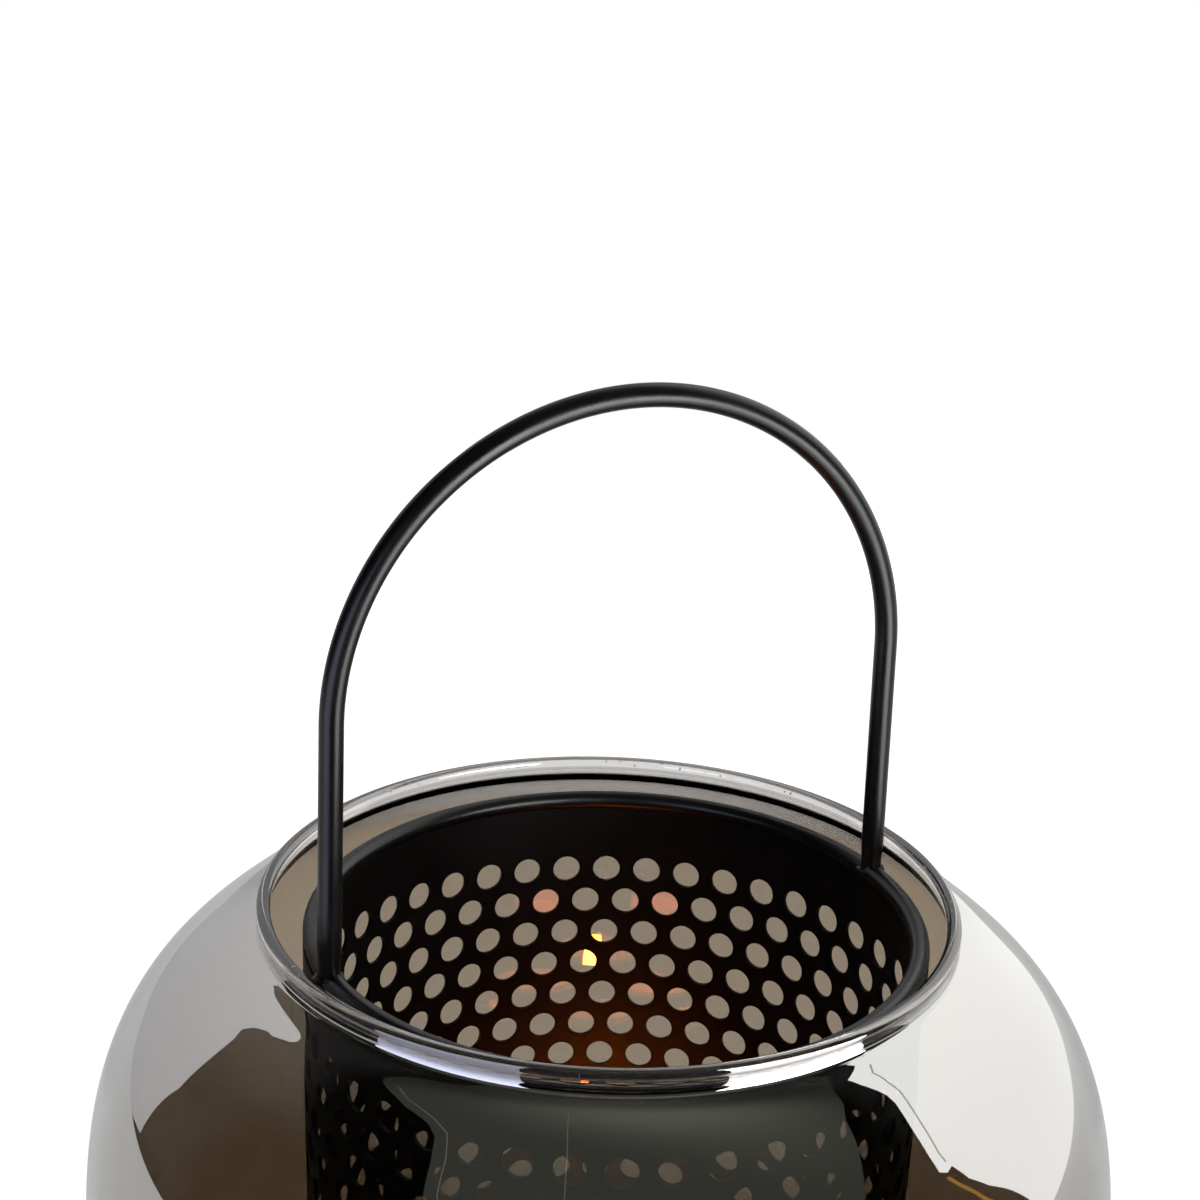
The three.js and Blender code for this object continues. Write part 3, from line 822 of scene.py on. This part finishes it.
def light_panel(name, corners, towards, distance, colour, foot_strength, top_strength, course="LINEAR"):
    """Studio light: a patch of a sphere round the lantern, brighter or dimmer at its foot than at its top. Its
    outline runs through the directions of its corners, and point (i, j) is the direction part-way from the patch's
    middle to the outline. Mirrors and matt surfaces see it."""
    ring = np.array([direction(*corner) for corner in corners])
    share = np.arange(8)[:, None] / 8
    outline = np.vstack([a + share * (b - a) for a, b in zip(ring, np.roll(ring, -1, axis=0))])
    middle = direction(*towards)
    t = np.linspace(0, 1, 9)[1:, None, None]
    patch = middle + t * (outline[None] - middle)
    patch /= np.linalg.norm(patch, axis=-1, keepdims=True)
    count = len(outline)
    points = STAGE_MIDDLE + distance * np.vstack([patch.reshape(-1, 3), middle[None]])
    faces = grid_faces(8, count).tolist() + cap_faces(np.arange(count), 8 * count).tolist()
    material = glow_material(name, colour, foot_strength, top_strength, points[:, 2].min(), points[:, 2].max(),
                             course)
    return stage_piece(name, points.tolist(), faces, material)


def light_line(name, path, width, colour, strength):
    """Thin band of light: pairs of points half its width in degrees to either side of each direction of the path,
    square to the path's course there."""
    path = np.asarray(path, float)
    course = np.gradient(path, axis=0)
    course[:, 0] *= np.cos(np.radians(path[:, 1]))
    course /= np.linalg.norm(course, axis=1, keepdims=True)
    across = np.stack([-course[:, 1] / np.cos(np.radians(path[:, 1])), course[:, 0]], axis=-1) * width / 2
    edges = np.vstack([path + across, path - across])
    points = [(STAGE_MIDDLE + LINE_DISTANCE * direction(*edge)).tolist() for edge in edges]
    count = len(path)
    faces = [(i, i + 1, i + 1 + count, i + count) for i in range(count - 1)]
    stage_piece(name, points, faces, glow_material(name, colour, strength, strength, 0, 1))


def seen_directly(tree):
    """Light path, and 1 where the camera looks straight at a surface or through the glass. A ray that met the matt or
    glossy surface of another piece on its way counts as 0."""
    ray = add_node(tree, "ShaderNodeLightPath")
    met = compute(tree, "ADD", ray.outputs["Diffuse Depth"], ray.outputs["Glossy Depth"])
    clear = compute(tree, "SUBTRACT", ray.outputs["Is Transmission Ray"], met, clamp=True)
    return ray, compute(tree, "MAXIMUM", ray.outputs["Is Camera Ray"], clear)


def studio():
    """Pale table, white surroundings, a dim ceiling and the soft lights whose images lie on the glass."""
    scene = bpy.context.scene
    world = bpy.data.worlds.new("studio")
    scene.world = world
    world.use_nodes = True
    tree = world.node_tree
    tree.nodes.clear()
    ray = add_node(tree, "ShaderNodeLightPath")
    sky = add_node(tree, "ShaderNodeBackground", values={"Color": srgb("#ffffff")},
                   links={"Strength": course_of(tree, ray.outputs["Diffuse Depth"], 0, 1, 1.0, 0.35)})
    surface(tree, add_node(tree, "ShaderNodeOutputWorld"), sky.outputs["Background"])

    dim_room = light_panel("dim_room", [(az, -8) for az in range(-180, 180, 20)], (0, 90), 2.6, "#161616", 0.3,
                           0.3)
    dim_room.data.materials[0] = dim_room_material()
    dim_room.visible_transmission = True
    ceiling = light_panel("ceiling", [(-115.5, 70), (-112, 63.5), (-101.3, 57.6), (-96.4, 56.6), (-90, 57),
                                      (-80, 58), (-69.8, 59.7), (-63.6, 59.4), (-58.4, 56.9), (-50.8, 50.4),
                                      (-30, 42), (0, 38), (40, 36), (72.4, 40.3), (79.2, 45), (85.3, 47.8),
                                      (88.7, 50), (94.7, 51.6), (102, 54.6), (121, 57), (160, 70), (-160, 76)],
                          (60, 80), 2.4, "#8a8b80", 0.4, 0.34)
    ceiling.data.materials[0] = ceiling_material()
    light_panel("left_light", [(-112, -5), (-111.8, 2), (-111.8, 14.2), (-116.6, 26.1), (-117.9, 26.9),
                               (-117.5, 29.4), (-116, 33), (-114.4, 34.3), (-113.3, 36.4), (-112.4, 38.6),
                               (-113, 40.5), (-115.5, 41.4), (-118.2, 41.2), (-122.8, 39), (-125.8, 37.1),
                               (-128.7, 35.3), (-132, 34.4), (-134.8, 33.2), (-142, 48), (-155, 60), (160, 60),
                               (160, -12), (-140, -12)], (-150, 20), 2.2, "#dcdcdf", 0.64, 0.9)
    light_panel("right_light", [(100.4, 0.9), (99.5, 3.2), (97.2, 9.3), (94.2, 16), (92.5, 22.7), (93, 28.2),
                                (93.3, 30.8), (90.8, 29), (89.8, 30.8), (92.6, 35), (96.7, 39.4), (99.9, 42),
                                (101.5, 44), (103.1, 46.8), (106, 50), (111.9, 53.3), (123.5, 52), (160, 62),
                                (-170, 60), (-170, -12), (104, -12)], (140, 20), 2.3, "#fdfdfa", 1.3, 1.4)
    light_line("right_light_seam", [(121.5, 49.5), (113.2, 48.5), (106.3, 44.3), (103.4, 41.3), (99, 37.8),
                                    (94.4, 33.3), (93.1, 30.8)], 0.4, "#b4b4ae", 1.2)
    light_line("amber_edge", [(89.4, 28.1), (89.4, 23.9), (90.8, 14.6), (94, 4)], 0.9, "#b98436", 0.8)
    light_line("ceiling_seam", [(-93.7, 59.3), (-84.3, 59.3), (-70.9, 61), (-61.3, 61.1), (-55.3, 58.8),
                                (-47.7, 52.1), (-40, 46)], 0.25, "#93948a", 0.5)
    light_line("ceiling_wire", [(-49.5, 84), (-19.3, 74.3), (-14.3, 68.7), (-11.6, 63), (-10, 57)], 0.2,
               "#93948a", 0.5)
    front_left = light_panel("front_left_light", [(-60, -28), (-60, 18), (-52, 27), (-41, 36), (-20, 44),
                                                  (-20, -28)], (-40, 0), FRONT_DISTANCE, "#e2e6ff", 1.0, 2.4)
    front_right = light_panel("front_right_light", [(32, -28), (32, 42), (45.6, 39), (54.4, 33.5), (62.3, 26.5),
                                                    (68.4, 20), (72, 16), (72, -28)], (50, 0), FRONT_DISTANCE,
                              "#ffffff", 1.6, 11.0, "SMOOTHSTEP")

    material, tree, output = new_material("pale_table")
    ray, seen = seen_directly(tree)
    fill = add_node(tree, "ShaderNodeMath", settings={"operation": "MULTIPLY_ADD"}, values={1: 0.15},
                    links={0: ray.outputs["Is Glossy Ray"], 2: course_of(tree, seen, 0, 1, 0, 0.75)})
    # Painted light and shade: as mirrors see it, the table's colour runs from 0.86 at its left to 0.76 at its right,
    # so its reflection is lighter on the left than on the right
    painted_side_shade = course_of(tree, place_part(tree, "X"), -0.35, 0.35, 0.86, 0.76)
    shade = add_node(tree, "ShaderNodeMix", settings={"data_type": "RGBA"},
                     links={"Factor": ray.outputs["Is Glossy Ray"], "B": painted_side_shade})
    shade.inputs["A"].default_value = srgb("#ececec")
    matt = add_node(tree, "ShaderNodeBsdfDiffuse", links={"Color": shade.outputs["Result"]})
    glow = add_node(tree, "ShaderNodeEmission", links={"Strength": fill.outputs["Value"]})
    both = add_node(tree, "ShaderNodeAddShader", links={0: matt.outputs["BSDF"], 1: glow.outputs["Emission"]})
    surface(tree, output, both.outputs["Shader"])
    table = [(x * TABLE_REACH, y * TABLE_REACH, 0) for x, y in ((-1, -1), (1, -1), (1, 1), (-1, 1))]
    stage_piece("table", table, [(0, 1, 2, 3)], material, seen_by_camera=True)

    card = [(x, y, CARD_LEVEL) for x, y in ((-0.7, -1.2), (0.7, -1.2), (0.45, -0.33), (-0.45, -0.33))]
    card = stage_piece("black_card", card, [(0, 1, 2, 3)], glow_material("black_card", "#161616", 0.3, 0.3, 0, 1))
    for piece in (dim_room, front_left, front_right, card):
        piece.visible_diffuse = False


def photo_camera():
    """Camera whose axes come from its pitch, yaw and roll: forward tilts down from +Y, and the picture rolls round
    it."""
    e, yaw, roll = CAMERA_PITCH, CAMERA_YAW, CAMERA_ROLL
    forward = np.array([math.sin(yaw) * math.cos(e), math.cos(yaw) * math.cos(e), -math.sin(e)])
    level = np.array([math.cos(yaw), -math.sin(yaw), 0.0])
    above = np.cross(level, forward)
    right = math.cos(roll) * level + math.sin(roll) * above
    up = -math.sin(roll) * level + math.cos(roll) * above
    axes = np.stack([right, up, -forward, CAMERA_PLACE], axis=-1)
    data = bpy.data.cameras.new("photo_camera")
    data.lens = CAMERA_LENS
    data.sensor_width = CAMERA_SENSOR
    data.clip_start = 0.01
    camera = bpy.data.objects.new("photo_camera", data)
    bpy.context.collection.objects.link(camera)
    camera.matrix_world = Matrix(np.vstack([axes, [0, 0, 0, 1]]).tolist())
    bpy.context.scene.camera = camera


photo_camera()
studio()
bpy.context.scene.view_settings.view_transform = "Standard"

glass = smoked_glass()
sheet_coat = coated_steel("satin_black_sheet", 0.4, 0.26)
rod_coat = coated_steel("satin_black_rod", 0.33, 0.5)
metal = drawn_aluminium()
dress(vessel_mesh(), glass, "vessel", "smoked_glass", "glass_vessel")
dress(bubble_mesh(), trapped_air(), "vessel", "smoked_glass")
dress(perforated_sheet(), sheet_coat, "insert", "black_steel", "perforated_sleeve")
dress(rim_mesh(), rod_coat, "insert", "black_steel", "rim_ring")
dress(handle_mesh(), rod_coat, "insert", "black_steel", "handle_rod")
dress(pan_mesh(), sheet_coat, "insert", "black_steel", "base_pan")
for side in (-1, 1):
    dress(weld_mesh(side), rod_coat, "insert", "black_steel")
silicone = clear_silicone()
for number in range(1, 5):
    dress(pad_mesh(number), silicone, "insert", "clear_rubber", f"foot_pad_{number}")
dress(cup_mesh(), metal, "candle", "aluminium", "candle_cup")
dress(wax_mesh(), candle_wax(), "candle", "wax", "candle_wax")
dress(wick_mesh(), charred_cotton(), "candle", "wick", "candle_wick")
dress(flame_mesh(), burning_vapour(), "candle", "wick")
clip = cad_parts["wick_clip"]
clip.data.materials.clear()
clip.data.materials.append(metal)
